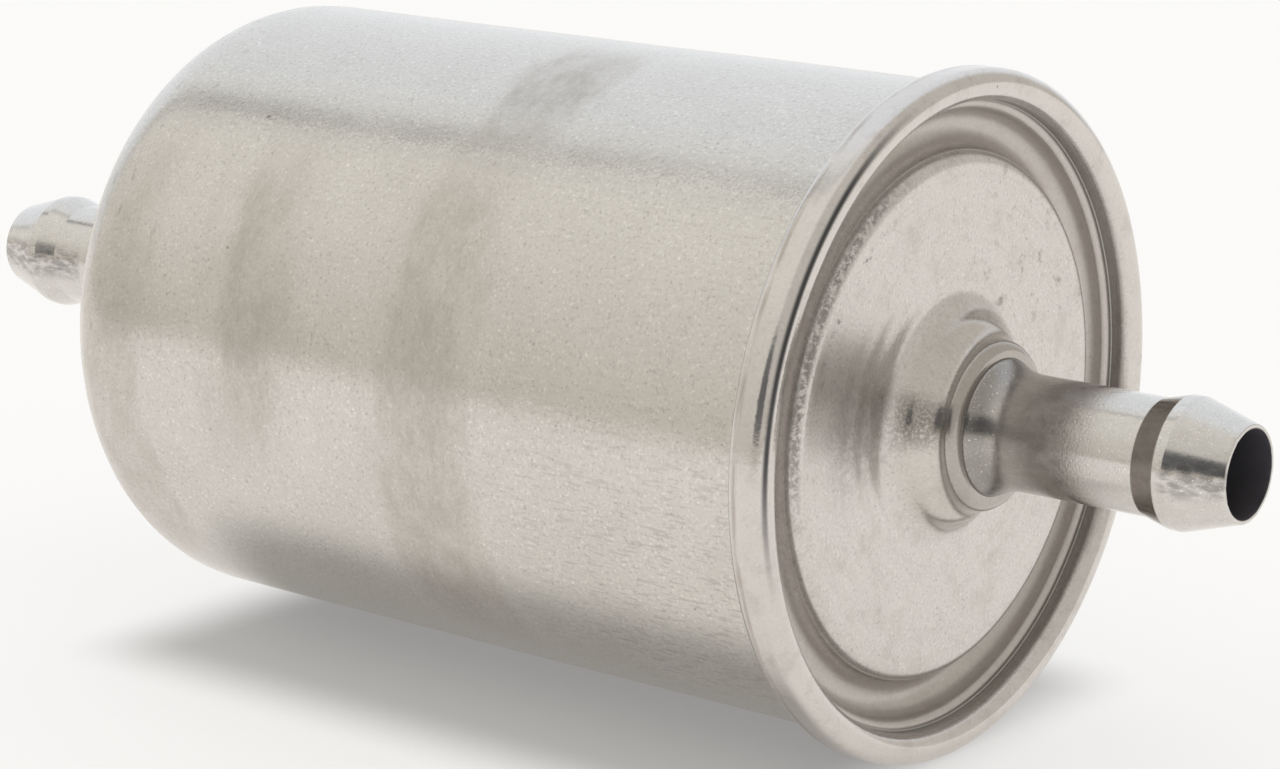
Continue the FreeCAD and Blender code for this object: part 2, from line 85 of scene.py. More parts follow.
# The rolled seam. The chuck wall is the cover's wall on the inside of it.
CHUCK_RADIUS = 26.47
SEAM_FRONT = 39.8
SEAM_REAR = 36.3
CREST_BEND = 1.0
FOLD_BEND = 0.5
COVER_HOOK_RADIUS = 27.78
COVER_HOOK_END = 38.1
BODY_HOOK_END = 37.45

# The hose nipples.
INLET_MOUTH = 65.7
TUBE_RADIUS = 4.85
FOOT_RADIUS = 5.75
BORE_RADIUS = 3.65
TIP_RADIUS = 3.98
BARB_RADIUS = 5.45
CONE_LENGTH = 4.8
BARB_LAND = 0.85
BARB_SLOPE = 2.2
FOOT_LAND = 0.1
FLARE_LENGTH = 1.8
FLARE_BEND = 6.0
FITTING_GAP = 0.02
FLANGE_RADIUS = 6.25
STUB_RADIUS = 5.8
GROMMET_SEAT = -36.72

# The spring.
SPRING_WIRE = 1.0
SPRING_TURNS = 3.5

# The depth of the waviness in the sheets, and the shallow rings in the panel.
BROAD_WAVE = 0.05
FINE_WAVE = 0.010
PRESSED_RINGS_RADIUS = 13.0
PRESSED_RINGS_DEPTH = 0.040

RING_SEGMENTS = 320
ARC_STEPS = 9
SHARP_ANGLE = math.radians(38)


def span(node):
    """The lowest and highest station of a CAD node along X, in millimetres."""
    low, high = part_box(node)
    return low.x / MM, high.x / MM


def reach(node):
    """The largest radius of a CAD node, in millimetres."""
    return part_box(node)[1].z / MM


# ---- shapes ------------------------------------------------------------------------------------

def rounded(corners):
    """Points along a closed outline of (station, radius, corner radius), with its corners rounded."""
    count = len(corners)
    points = []
    for i, (x, r, size) in enumerate(corners):
        corner = Vector((x, r))
        if not size:
            points.append(corner)
            continue
        arriving = (corner - Vector(corners[i - 1][:2])).normalized()
        leaving = (Vector(corners[(i + 1) % count][:2]) - corner).normalized()
        turn = arriving.angle_signed(leaving)
        start = corner - arriving * size * math.tan(abs(turn) / 2)
        side = -1 if turn > 0 else 1
        centre = start + Vector((-arriving.y, arriving.x)) * size * side
        arm = start - centre
        for step in range(ARC_STEPS + 1):
            swing = -turn * step / ARC_STEPS
            points.append(centre + Vector((
                arm.x * math.cos(swing) - arm.y * math.sin(swing),
                arm.x * math.sin(swing) + arm.y * math.cos(swing),
            )))
    return points


def formed_sheet(path, thickness=SHEET):
    """The outline of a sheet of even thickness along a mid-line of (station, radius, bend radius)."""
    half = thickness / 2
    normals = []
    for (x0, r0, _), (x1, r1, _) in zip(path, path[1:]):
        along = Vector((x1 - x0, r1 - r0)).normalized()
        normals.append(Vector((-along.y, along.x)))
    left, right = [], []
    for i, (x, r, bend) in enumerate(path):
        near = normals[max(i - 1, 0):i + 1]
        shift = sum(near, Vector((0, 0))) / (1 + near[0].dot(near[-1])) * (2 if len(near) == 1 else 1)
        for side, corners in ((1, left), (-1, right)):
            size = 0
            if bend:
                turns_left = near[0].x * near[1].y - near[0].y * near[1].x > 0
                size = bend - half if turns_left == (side == 1) else bend + half
            corners.append((x + side * shift.x * half, r + side * shift.y * half, size))
    return left + right[::-1]


def divided(points, spacing):
    """The same closed outline with extra points, so that no step is longer than spacing."""
    result = []
    for here, after in zip(points, points[1:] + points[:1]):
        pieces = max(1, math.ceil((after - here).length / spacing))
        result += [here.lerp(after, k / pieces) for k in range(pieces)]
    return result


def mesh_object(name, vertices, faces):
    """A smooth-shaded mesh object from vertices in metres."""
    mesh = bpy.data.meshes.new(name)
    mesh.from_pydata([tuple(v) for v in vertices], [], faces)
    mesh.update()
    mesh.shade_smooth()
    mesh.set_sharp_from_angle(angle=SHARP_ANGLE)
    obj = bpy.data.objects.new(name, mesh)
    bpy.context.scene.collection.objects.link(obj)
    return obj


def lathe(name, corners, spacing=1.5, wear=None, segments=RING_SEGMENTS):
    """A closed body of revolution about X. wear(x, r, turn) moves a point: (along X, outwards)."""
    points = divided(rounded(corners), spacing)
    vertices = []
    for k in range(segments):
        turn = 2 * math.pi * k / segments
        for point in points:
            x, r = point
            if wear:
                along, outwards = wear(x, r, turn)
                x, r = x + along, r + outwards
            vertices.append((x * MM, r * math.cos(turn) * MM, r * math.sin(turn) * MM))
    count = len(points)
    faces = []
    for k in range(segments):
        here, after = k * count, (k + 1) % segments * count
        for i in range(count):
            j = (i + 1) % count
            faces.append((here + i, after + i, after + j, here + j))
    obj = mesh_object(name, vertices, faces)
    fix_normals(obj)
    return obj


def fix_normals(obj):
    """Turns the faces outwards."""
    bpy.context.view_layer.objects.active = obj
    obj.select_set(True)
    bpy.ops.object.mode_set(mode="EDIT")
    bpy.ops.mesh.select_all(action="SELECT")
    bpy.ops.mesh.normals_make_consistent(inside=False)
    bpy.ops.object.mode_set(mode="OBJECT")
    obj.select_set(False)


def ripple(x, r, turn, size):
    """Smooth noise from -1 to 1 on a surface of revolution, with features of a given size in mm."""
    return noise.noise(Vector((x, r * math.cos(turn), r * math.sin(turn))) / size)


def sheet_waves(x, r, turn):
    """The slight waviness of drawn sheet, both broad and fine."""
    broad = BROAD_WAVE * ripple(x, r, turn, 17.0)
    fine = FINE_WAVE * ripple(x, r, turn, 5.0)
    return 0.6 * broad + fine, broad + fine


def cover_waves(x, r, turn):
    """Sheet waviness, plus the shallow rings pressed into the panel around the boss."""
    along, outwards = sheet_waves(x, r, turn)
    fade = max(0.0, 1.0 - abs(r - PRESSED_RINGS_RADIUS) / 4.5)
    return along + PRESSED_RINGS_DEPTH * fade * math.sin(r * 2 * math.pi / 2.3), outwards


def cut_mouth(x, r, turn):
    """The uneven cut edge of the inlet nipple's mouth."""
    fade = max(0.0, 1.0 - abs(x - INLET_MOUTH) / 0.25)
    if fade == 0.0:
        return 0.0, 0.0
    burr = max(0.0, ripple(x, r, turn, 0.7) - 0.25) + 0.35 * ripple(x, r, turn, 1.6)
    return -0.10 * fade * abs(burr), (-0.10 if r < (TIP_RADIUS + BORE_RADIUS) / 2 else 0.03) * fade * burr


def boss_path(top, flat, out):
    """The mid-line of a boss from its nipple hole down to the flat it rises from; out is 1 or -1."""
    neck = top - out * COLLAR_HEIGHT
    return [
        (top, NIPPLE_HOLE, 0),
        (top, COLLAR_RADIUS, COLLAR_BEND),
        (neck, NECK_RADIUS, NECK_BEND),
        (neck - out * DOME_RISE, DOME_RADIUS, DOME_BEND),
        (flat, ROOT_RADIUS, ROOT_BEND),
    ]


def canister():
    """The drawn canister, with its boss, shoulder and the hook folded into the seam."""
    rear, front = span("canister")
    flat = rear + REAR_BOSS_HEIGHT + SHEET / 2
    fold = front - SHEET / 2
    wall = CAN_RADIUS - SHEET / 2
    hook = reach("canister") - SHEET / 2
    return lathe("canister_shell", formed_sheet(boss_path(rear + SHEET / 2, flat, -1) + [
        (flat, wall, SHOULDER - SHEET / 2),
        (fold, wall, FOLD_BEND),
        (fold, hook, FOLD_BEND),
        (BODY_HOOK_END, hook, 0),
    ]), spacing=1.0, wear=sheet_waves)


def end_cover():
    """The pressed cover with its boss, panel, groove, stepped wall and rolled seam."""
    boss_top = span("end_cover")[1]
    panel = PANEL_FACE - SHEET / 2
    panel_wall = PANEL_RADIUS - SHEET / 2
    groove = GROOVE_FACE - SHEET / 2
    step = STEP_FACE - SHEET / 2
    chuck_wall = CHUCK_RADIUS + SHEET / 2
    crest = SEAM_FRONT - SHEET / 2
    seam_wall = reach("end_cover") - SHEET / 2
    foot = SEAM_REAR + SHEET / 2
    return lathe("end_cover_shell", formed_sheet(boss_path(boss_top - SHEET / 2, panel, 1) + [
        (panel, panel_wall, PANEL_BEND),
        (groove, panel_wall, GROOVE_BEND),
        (groove, chuck_wall - STEP_WIDTH, GROOVE_BEND),
        (step, chuck_wall - STEP_WIDTH, STEP_BEND),
        (step, chuck_wall, STEP_BEND),
        (crest, chuck_wall, CREST_BEND),
        (crest, seam_wall, CREST_BEND),
        (foot, seam_wall, FOLD_BEND),
        (foot, COVER_HOOK_RADIUS, FOLD_BEND),
        (COVER_HOOK_END, COVER_HOOK_RADIUS, 0),
    ]), spacing=0.5, wear=cover_waves)


def hose_end(mouth, boss, out):
    """The corners of a nipple from its foot on the boss to its mouth; out is 1 or -1."""
    crest = mouth - out * CONE_LENGTH
    crest_rear = crest - out * BARB_LAND
    return [
        (boss + FOOT_LAND * out, FOOT_RADIUS, 0),
        (boss + FLARE_LENGTH * out, TUBE_RADIUS, FLARE_BEND),
        (crest_rear - out * BARB_SLOPE, TUBE_RADIUS, 0.05),
        (crest_rear, BARB_RADIUS, 0.35),
        (crest, BARB_RADIUS, 0.5),
        (mouth, TIP_RADIUS, 0.1),
        (mouth, BORE_RADIUS, 0.05),
    ]


def inlet_nipple():
    """The inlet nipple with its flange inside the cover."""
    flange, mouth = span("inlet_nipple")
    boss = span("end_cover")[1]
    under_boss = boss - SHEET - FITTING_GAP
    return lathe("inlet_nipple_turned", hose_end(mouth, boss, 1) + [
        (flange, BORE_RADIUS, 0),
        (flange, FLANGE_RADIUS, 0),
        (under_boss, FLANGE_RADIUS, 0),
        (under_boss, FOOT_RADIUS, 0),
    ], spacing=0.4, wear=cut_mouth, segments=224)


def outlet_nipple():
    """The outlet nipple with the collar and stub inside the canister."""
    mouth, stub = span("outlet_nipple")
    boss = span("canister")[0]
    under_boss = boss + SHEET + FITTING_GAP
    return lathe("outlet_nipple_turned", hose_end(mouth, boss, -1) + [
        (stub, BORE_RADIUS, 0),
        (stub, STUB_RADIUS, 0.6),
        (GROMMET_SEAT, STUB_RADIUS, 0),
        (GROMMET_SEAT, FLANGE_RADIUS, 0),
        (under_boss, FLANGE_RADIUS, 0),
        (under_boss, FOOT_RADIUS, 0),
    ], spacing=0.5, segments=192)


def coil(name, rear, front, radius, wire, turns, steps=64, sides=14):
    """A compression spring about X whose end coils close up flat against their seats."""
    vertices = []
    total = int(turns * steps)
    travel = front - rear - wire
    for k in range(total + 1):
        share = k / total
        turn = 2 * math.pi * turns * share
        eased = share - 0.16 * math.sin(2 * math.pi * share) / math.pi
        outward = Vector((0, math.cos(turn), math.sin(turn)))
        centre = Vector((rear + wire / 2 + travel * eased, 0, 0)) + outward * radius
        for side in range(sides):
            swing = 2 * math.pi * side / sides
            offset = Vector((math.cos(swing), 0, 0)) + outward * math.sin(swing)
            vertices.append((centre + offset * wire / 2) * MM)
    faces = []
    for k in range(total):
        for side in range(sides):
            after = (side + 1) % sides
            here, beyond = k * sides, (k + 1) * sides
            faces.append((here + side, here + after, beyond + after, beyond + side))
    faces.append(tuple(range(sides)))
    faces.append(tuple(range(total * sides, (total + 1) * sides)))
    obj = mesh_object(name, vertices, faces)
    fix_normals(obj)
    return obj


def element_spring():
    """The spring between the baffle and the element."""
    rear, front = span("element_spring")
    radius = reach("element_spring") - SPRING_WIRE / 2
    return coil("element_spring_coil", rear, front, radius, SPRING_WIRE, SPRING_TURNS)


# ---- materials ---------------------------------------------------------------------------------

class Graph:
    """Builds a material's node tree. Every call returns the new node's output socket."""

    def __init__(self, name, sky_tree=None):
        """Starts a material, or a world when its tree is given; then the place is a view direction."""
        if sky_tree:
            self.tree = sky_tree
        else:
            self.material = bpy.data.materials.new(name)
            self.material.use_nodes = True
            self.tree = self.material.node_tree
        self.tree.nodes.clear()
        here = self.add("ShaderNodeTexCoord", {}, output=0 if sky_tree else 3)
        scale = 1.0 if sky_tree else 1 / MM
        self.place = self.add("ShaderNodeVectorMath", {0: here, 3: scale}, operation="SCALE")
        parts = self.tree.nodes.new("ShaderNodeSeparateXYZ")
        self.tree.links.new(self.place, parts.inputs[0])
        self.x, self.y, self.z = parts.outputs

    def add(self, kind, inputs, output=0, **settings):
        node = self.tree.nodes.new(kind)
        for key, setting in settings.items():
            setattr(node, key, setting)
        for key, source in inputs.items():
            if isinstance(source, bpy.types.NodeSocket):
                self.tree.links.new(source, node.inputs[key])
            else:
                node.inputs[key].default_value = source
        return node.outputs[output]

    def math(self, operation, first, second=0.0):
        return self.add("ShaderNodeMath", {0: first, 1: second}, operation=operation)

    def product(self, *factors):
        result = factors[0]
        for factor in factors[1:]:
            result = self.math("MULTIPLY", result, factor)
        return result

    def total(self, *terms):
        result = terms[0]
        for term in terms[1:]:
            result = self.math("ADD", result, term)
        return result

    def ramp(self, source, low, high, start=0.0, end=1.0):
        """Maps source from low..high to start..end with soft ends."""
        return self.add("ShaderNodeMapRange", {
            "Value": source, "From Min": low, "From Max": high, "To Min": start, "To Max": end,
        }, interpolation_type="SMOOTHSTEP")

    def window(self, source, low, high, soft):
        """1 between low and high, falling to 0 over a soft margin on both sides."""
        rise = self.ramp(source, low - soft, low + soft)
        fall = self.ramp(source, high + soft, high - soft)
        return self.product(rise, fall)

    def blend(self, factor, first, second):
        node = self.tree.nodes.new("ShaderNodeMix")
        node.data_type = "RGBA"
        for number, source in ((0, factor), (6, first), (7, second)):
            socket = node.inputs[number]
            if isinstance(source, bpy.types.NodeSocket):
                self.tree.links.new(source, socket)
            else:
                socket.default_value = (*source, 1) if isinstance(source, tuple) else source
        return node.outputs[2]

    def stretched(self, x, y, z):
        """The place on the surface, divided by a feature size in mm along each axis."""
        share = (1 / x, 1 / y, 1 / z)
        return self.add("ShaderNodeVectorMath", {0: self.place, 1: share}, operation="MULTIPLY")

    def noise(self, size, detail=2.0, roughness=0.5):
        """Noise from 0 to 1 with features of a size in mm: one number, or one for each axis."""
        place = self.stretched(*(size if isinstance(size, tuple) else (size,) * 3))
        return self.add("ShaderNodeTexNoise", {
            "Vector": place, "Scale": 1.0, "Detail": detail, "Roughness": roughness,
        })

    def specks(self, spacing, radius, share):
        """Small round dots, 1 inside: one in every cell of a size in mm, kept for a share of the cells."""
        node = self.tree.nodes.new("ShaderNodeTexVoronoi")
        self.tree.links.new(self.stretched(spacing, spacing, spacing), node.inputs["Vector"])
        node.inputs["Scale"].default_value = 1.0
        near = self.ramp(node.outputs["Distance"], radius / spacing, 0.5 * radius / spacing)
        parts = self.tree.nodes.new("ShaderNodeSeparateColor")
        self.tree.links.new(node.outputs["Color"], parts.inputs[0])
        return self.product(near, self.math("LESS_THAN", parts.outputs[0], share))

    def paint(self, layer, *masks):
        """Lays a colour over the material's colour so far, as strongly as the product of the masks."""
        self.color = self.blend(self.product(*masks), self.color, layer)

    def bump(self, height):
        """A normal from a height in mm."""
        return self.add("ShaderNodeBump", {"Strength": 1.0, "Distance": MM, "Height": height})

    def finish(self, surface):
        out = self.tree.nodes.new("ShaderNodeOutputMaterial")
        self.tree.links.new(surface, out.inputs["Surface"])
        return self.material

    def principled(self, color, roughness, metallic=1.0, normal=None, **extra):
        inputs = {"Base Color": color, "Roughness": roughness, "Metallic": metallic, **extra}
        if normal is not None:
            inputs["Normal"] = normal
        return self.finish(self.add("ShaderNodeBsdfPrincipled", inputs))


def around(g):
    """The angle around the X axis in degrees, 0 on the -Y side and 90 on top."""
    turn = g.math("ARCTAN2", g.z, g.math("MULTIPLY", g.y, -1.0))
    return g.math("MULTIPLY", turn, 180 / math.pi)


def distance_from_axis(g):
    """The distance from the X axis in mm."""
    return g.math("SQRT", g.total(g.product(g.y, g.y), g.product(g.z, g.z)))


def patch(g, turn, stations, angles, soft):
    """A stain's area: a range of stations and a range of angles, with a ragged soft edge."""
    ragged = g.noise((3.0, 9.0, 9.0), detail=3.0)
    shifted = g.total(g.x, g.product(g.math("SUBTRACT", ragged, 0.5), STAIN_RAGGEDNESS))
    return g.product(g.window(shifted, *stations, soft), g.window(turn, *angles, 12.0))


# Colours are linear light. Stations, radii and feature sizes are in mm, and angles in degrees.

SPECK = (0.10, 0.09, 0.08)
CAN_GRAIN = 0.30
CAN_PEEL = 0.42
COVER_GRAIN = 0.28
COVER_PEEL = 0.38
NIPPLE_GRAIN = 0.20
NIPPLE_PEEL = 0.24

# The rubbed bands around the canister: stations, angles, softness of the ends, strength.
STAIN_RAGGEDNESS = 9.0
STAINS = (
    ((-20.0, -13.0), (-12.0, 38.0), 3.0, 0.72),
    ((-1.0, 8.0), (-45.0, 44.0), 3.0, 0.66),
    ((0.0, 9.0), (54.0, 82.0), 2.0, 0.80),
    ((-38.0, -29.0), (-50.0, 40.0), 2.0, 0.50),
)


def can_steel():
    """Satin tin plate: cloudy tone, orange-peel grain, rubbed brown bands, dashes near the seam."""
    g = Graph("can_steel")
    turn = around(g)
    clouds = g.noise(8.0, detail=4.0, roughness=0.6)
    grain = g.noise(CAN_GRAIN, detail=3.0, roughness=0.75)
    g.color = g.blend(clouds, (0.55, 0.535, 0.51), (0.66, 0.645, 0.62))
    g.paint((0.95, 0.94, 0.92), g.ramp(grain, 0.54, 0.76), 0.60)
    g.paint((0.22, 0.21, 0.20), g.ramp(grain, 0.46, 0.24), 0.60)

    sparkle = g.ramp(g.noise(0.22, detail=2.0, roughness=0.6), 0.42, 0.62)
    upper_side = g.product(g.window(turn, 47.0, 51.5, 1.2), g.ramp(g.x, -36.0, -24.0))
    g.paint((0.98, 0.97, 0.95), upper_side, sparkle, 0.30)

    streaks = g.ramp(g.noise((2.2, 3.4, 3.4), detail=6.0, roughness=0.72), 0.26, 0.68)
    fibres = g.ramp(g.noise((0.30, 0.9, 0.9), detail=4.0, roughness=0.75), 0.3, 0.7, 0.5, 1.0)
    rub = g.ramp(g.product(streaks, fibres), 0.0, 1.0, 0.4, 1.0)
    stains = g.total(*(
        g.product(patch(g, turn, stations, angles, soft), strength)
        for stations, angles, soft, strength in STAINS
    ))
    # The rubbed wear of the bands, in patches.
    patchy = g.product(stains, rub)
    g.paint((0.40, 0.37, 0.335), patchy)

    near_seam = g.ramp(g.x, 0.0, 26.0)
    below = g.ramp(turn, 12.0, -12.0, 0.3, 1.0)
    dashes = g.ramp(g.noise((1.6, 0.30, 0.30), detail=1.5), 0.52, 0.68)
    dashed = g.product(near_seam, dashes, below)
    g.paint((0.22, 0.2, 0.18), dashed, 0.24)
    g.paint(SPECK, g.total(g.specks(4.2, 0.16, 0.30), g.specks(7.5, 0.26, 0.22)), 0.6)

    blotches = g.ramp(g.noise((1.1, 2.2, 2.2), detail=3.0), 0.66, 0.76)
    shoulder = g.ramp(g.x, -24.0, -33.0)
    g.paint((0.2, 0.18, 0.16), blotches, shoulder, 0.30)

    peel = g.noise(CAN_PEEL, detail=3.0, roughness=0.7)
    drawn = g.noise((0.22, 9.0, 9.0), detail=2.0)
    height = g.total(g.product(peel, 0.014), g.product(drawn, 0.0016), g.product(dashed, -0.0016))
    roughness = g.total(g.ramp(clouds, 0.3, 0.7, 0.18, 0.23), g.product(patchy, 0.14))
    return g.principled(g.color, roughness, normal=g.bump(height))


def panel_marks_and_reflections(g, r, turn, grain, rings):
    """The wear on the flat panel: rings, mottling, smudges and scuffs; and painted dark reflections of the
    nipple, of its root on the boss and along the panel's rounded edge.
    """
    on_panel = g.window(r, 10.5, PANEL_RADIUS - 1.0, 1.0)
    g.paint((0.36, 0.33, 0.305), on_panel, g.ramp(rings, 0.45, 0.75), 0.12)
    mottle = g.ramp(g.noise(2.6, detail=5.0, roughness=0.7), 0.50, 0.68)
    g.paint((0.46, 0.41, 0.385), mottle, 0.32)

    smudges = g.ramp(g.noise((1.6, 1.9, 1.9), detail=5.0, roughness=0.72), 0.54, 0.70)
    far_side = g.ramp(g.math("ABSOLUTE", turn), 88.0, 120.0)
    upper_far = g.product(far_side, g.ramp(g.z, 2.0, 8.0), on_panel)
    g.paint((0.30, 0.27, 0.245), smudges, g.total(g.product(upper_far, 0.70), 0.16))

    # Painted dark reflection of the nipple in the panel, on the -Y side of the boss, broken up by patchy
    # noise.
    painted_nipple_reflection = g.product(g.window(r, 9.0, 17.5, 2.0), g.window(turn, -12.0, 24.0, 10.0))
    patchy = g.ramp(g.noise((0.8, 0.7, 0.7), detail=5.0, roughness=0.75), 0.32, 0.62)
    g.paint((0.24, 0.23, 0.225), painted_nipple_reflection, patchy, 0.35)
    # Painted dark reflection of the nipple's root, on the -Y side of the boss.
    painted_root_reflection = g.product(g.window(r, 7.0, 9.4, 0.8), g.window(turn, -4.0, 24.0, 7.0))
    g.paint((0.13, 0.13, 0.13), painted_root_reflection, g.ramp(grain, 0.64, 0.42, 0.35, 1.0), 0.9)

    # A painted dark reflection along the panel's rounded edge, and scuffs a little further in.
    painted_edge_reflection = g.product(
        g.window(r, PANEL_RADIUS - 0.75, PANEL_RADIUS - 0.15, 0.2),
        g.window(turn, -8.0, 66.0, 12.0),
        g.ramp(g.noise((0.5, 0.5, 0.5), detail=4.0, roughness=0.75), 0.40, 0.56),
    )
    scuffs = g.product(
        g.window(r, PANEL_RADIUS - 2.6, PANEL_RADIUS - 1.9, 0.15),
        g.window(turn, 18.0, 60.0, 8.0),
        g.ramp(g.noise((1.0, 1.2, 1.2), detail=4.0, roughness=0.7), 0.52, 0.62),
    )
    g.paint((0.10, 0.095, 0.09), g.total(painted_edge_reflection, scuffs), 0.62)
    return on_panel


def seam_line_and_reflection(g, r, turn):
    """A brown rubbed line around the bead, and a painted dark reflection, a streak along its front towards
    the -Y side.
    """
    side = g.ramp(r, 28.6, 28.95)
    rubbed_line = g.product(side, g.window(g.x, 37.0, 37.35, 0.18))
    g.paint((0.27, 0.22, 0.17), rubbed_line, g.ramp(g.noise((0.6, 5.0, 5.0)), 0.38, 0.6), 0.5)
    # A painted dark reflection: a streak along the bead's front.
    painted_lip_reflection = g.product(g.window(r, 28.2, 28.6, 0.14), g.ramp(g.x, 39.0, 39.3))
    g.paint((0.035, 0.037, 0.042), painted_lip_reflection, g.window(turn, -8.0, 62.0, 14.0), 0.93)


def cover_steel():
    """Pressed tin plate: a marked panel, a duller groove and boss, and a brighter seam bead, with painted
    shade in the crevice and painted dark reflections on the panel, boss and bead.
    """
    g = Graph("cover_steel")
    turn = around(g)
    r = distance_from_axis(g)
    clouds = g.noise(6.0, detail=4.0, roughness=0.6)
    grain = g.noise(COVER_GRAIN, detail=3.0, roughness=0.75)
    ringed = g.add("ShaderNodeCombineXYZ", {
        "X": g.product(r, 1.6), "Y": g.product(g.y, 0.06), "Z": g.product(g.z, 0.06),
    })
    rings = g.add("ShaderNodeTexNoise", {
        "Vector": ringed, "Scale": 1.0, "Detail": 3.0, "Roughness": 0.6,
    })
    rim = g.product(g.ramp(r, CHUCK_RADIUS + 0.03, CHUCK_RADIUS + 0.33), g.ramp(g.x, 36.0, 36.2))
    speckle = g.ramp(rim, 0.0, 1.0, 0.60, 0.22)
    g.color = g.blend(clouds, (0.575, 0.555, 0.54), (0.68, 0.66, 0.645))
    g.paint((0.95, 0.93, 0.91), g.ramp(grain, 0.54, 0.76), speckle)
    g.paint((0.23, 0.215, 0.205), g.ramp(grain, 0.46, 0.24), speckle)
    on_panel = panel_marks_and_reflections(g, r, turn, grain, rings)

    groove = g.window(r, PANEL_RADIUS + 0.25, CHUCK_RADIUS - 0.1, 0.2)
    g.paint((0.44, 0.405, 0.375), groove, 0.5)
    # Painted shade in the crevice at the foot of the chuck wall.
    crevice_shade = g.window(r, CHUCK_RADIUS - 0.28, CHUCK_RADIUS + 0.05, 0.12)
    g.paint((0.13, 0.12, 0.11), crevice_shade, g.ramp(g.x, 38.9, 38.2), 0.6)
    seam_line_and_reflection(g, r, turn)
    g.paint(SPECK, g.total(g.specks(3.6, 0.14, 0.30), g.specks(6.4, 0.22, 0.30)), 0.65)

    boss = g.ramp(r, 10.2, 8.6)
    g.paint((0.52, 0.49, 0.44), boss, 0.35)
    collar = g.product(g.ramp(r, 7.6, 7.0), g.ramp(g.x, 41.2, 42.2))
    g.paint((0.30, 0.28, 0.26), collar, 0.55)

    peel = g.noise(COVER_PEEL, detail=2.5, roughness=0.6)
    height = g.total(g.product(peel, 0.0115), g.product(rings, on_panel, 0.007))
    roughness = g.total(
        g.ramp(clouds, 0.3, 0.7, 0.24, 0.30),
        g.product(boss, -0.06),
        g.product(rim, -0.09),
        g.product(groove, 0.10),
    )
    return g.principled(g.color, roughness, normal=g.bump(height))


def nipple_steel():
    """Semi-bright turned and plated steel with a fine sparkle, painted shade along the tube next to the
    cover and a painted dark reflection on the barb's cone; the bore is dull, with painted shade in it.
    """
    g = Graph("nipple_steel")
    r = distance_from_axis(g)
    from_middle = g.math("ABSOLUTE", g.x)
    clouds = g.noise((1.6, 1.0, 1.0), detail=4.0, roughness=0.65)
    grain = g.noise(NIPPLE_GRAIN, detail=3.0, roughness=0.75)
    g.color = g.blend(clouds, (0.53, 0.515, 0.495), (0.70, 0.69, 0.675))
    g.paint((0.97, 0.96, 0.95), g.ramp(grain, 0.56, 0.78), 0.5)
    g.paint((0.20, 0.19, 0.18), g.ramp(grain, 0.44, 0.22), 0.5)

    # Painted shade over the half of the tube next to the cover, laid in smears.
    smears = g.ramp(g.noise((3.2, 1.5, 1.5), detail=4.0, roughness=0.7), 0.30, 0.62, 0.45, 1.0)
    slanted = g.total(from_middle, g.product(g.z, -0.35))
    shaded_foot_half = g.ramp(slanted, 52.0, 48.8)
    g.paint((0.19, 0.18, 0.17), smears, shaded_foot_half, 0.34)
    # Painted shade at the tube's foot, next to the boss.
    g.paint((0.20, 0.19, 0.18), g.ramp(from_middle, 45.8, 44.0), 0.55)
    glints = g.ramp(g.noise(0.16, detail=2.0, roughness=0.6), 0.62, 0.74)
    g.paint((1.0, 0.98, 0.95), glints, 0.8)

    barb_back = g.window(g.x, 57.85, 60.0, 0.12)
    g.paint((0.25, 0.225, 0.20), barb_back, g.ramp(clouds, 0.3, 0.7, 0.62, 0.82))
    # A painted dark reflection on the front of the barb's cone, with painted glints in it.
    cone_reflection_area = g.product(g.ramp(from_middle, 60.2, 61.2), g.window(around(g), -16.0, 16.0, 9.0))
    dark_blotch = g.product(cone_reflection_area, g.ramp(g.noise((1.6, 0.5, 0.5), detail=4.0), 0.3, 0.62))
    g.paint((0.16, 0.155, 0.15), dark_blotch, 0.62)
    g.paint((1.0, 0.99, 0.97), dark_blotch, glints, 0.9)
    g.paint(SPECK, g.specks(1.9, 0.10, 0.35), 0.6)
    # Painted shade in the bore, which is also dull.
    bore_shade = g.ramp(r, BORE_RADIUS + 0.12, BORE_RADIUS - 0.02)
    g.paint((0.17, 0.165, 0.19), bore_shade)

    peel = g.noise(NIPPLE_PEEL, detail=2.0, roughness=0.6)
    turned = g.noise((0.12, 4.0, 4.0), detail=1.0)
    height = g.total(g.product(peel, 0.0060), g.product(turned, 0.0007))
    roughness = g.total(
        g.ramp(clouds, 0.3, 0.7, 0.13, 0.19),
        g.product(bore_shade, 0.5),
        g.product(shaded_foot_half, 0.05),
    )
    return g.principled(g.color, roughness, normal=g.bump(height))


def inner_steel():
    """Bright pressed tin plate with fine pressing marks."""
    g = Graph("inner_steel")
    clouds = g.noise(5.0, detail=4.0)
    color = g.blend(clouds, (0.58, 0.58, 0.56), (0.70, 0.70, 0.68))
    marks = g.noise((0.4, 6.0, 6.0), detail=2.0)
    height = g.total(g.product(g.noise(0.5, detail=2.0), 0.006), g.product(marks, 0.002))
    return g.principled(color, g.ramp(clouds, 0.3, 0.7, 0.22, 0.30), normal=g.bump(height))


def spring_steel():
    """Dark drawn wire with faint scale."""
    g = Graph("spring_steel")
    scale = g.noise(0.9, detail=4.0, roughness=0.65)
    color = g.blend(g.ramp(scale, 0.35, 0.65), (0.30, 0.30, 0.31), (0.46, 0.46, 0.47))
    return g.principled(color, g.ramp(scale, 0.3, 0.7, 0.28, 0.42), normal=g.bump(g.product(scale, 0.01)))


def sealing_compound():
    """Dried dark sealing compound with a matt, slightly lumpy skin."""
    g = Graph("sealing_compound")
    lumps = g.noise(0.5, detail=3.0)
    color = g.blend(lumps, (0.09, 0.09, 0.10), (0.16, 0.16, 0.17))
    return g.principled(color, g.ramp(lumps, 0.3, 0.7, 0.6, 0.8), 0.0, g.bump(g.product(lumps, 0.03)))


